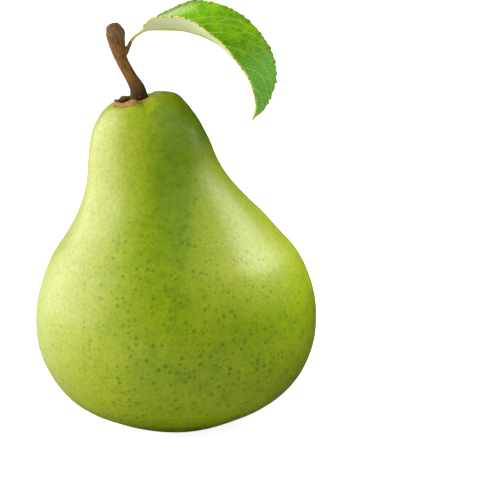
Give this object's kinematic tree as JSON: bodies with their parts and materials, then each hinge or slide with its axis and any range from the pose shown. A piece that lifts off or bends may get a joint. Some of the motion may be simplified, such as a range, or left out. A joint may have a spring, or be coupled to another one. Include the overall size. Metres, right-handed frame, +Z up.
{
  "type": "pear",
  "caption": "Whole green pear standing on its base, with a curved woody stem, a folded leaf with a toothed margin and a dried calyx underneath.",
  "frame": {"origin": "on the surface that the pear stands on, under the middle of the belly", "axes": "+Z up; -Y is the side that the picture shows; the neck leans to -X and the leaf arches over to +X"},
  "size_m": [0.0756, 0.0756, 0.1139],
  "materials": {
    "skin": "smooth waxy green pear skin with darker green lenticels, paler at one side, with a little russet round the stem",
    "bark": "dry brown bark with fine lengthwise wrinkles",
    "leaf": "fresh green leaf, satin on its upper face with paler veins, pale and matt underneath",
    "dried_calyx": "dry dark brown sepals and stamens, matt"
  },
  "bodies": {
    "root": {"fruit": "skin", "stem": "bark", "leaf": "leaf", "calyx": "dried_calyx"}
  },
  "joints": []
}
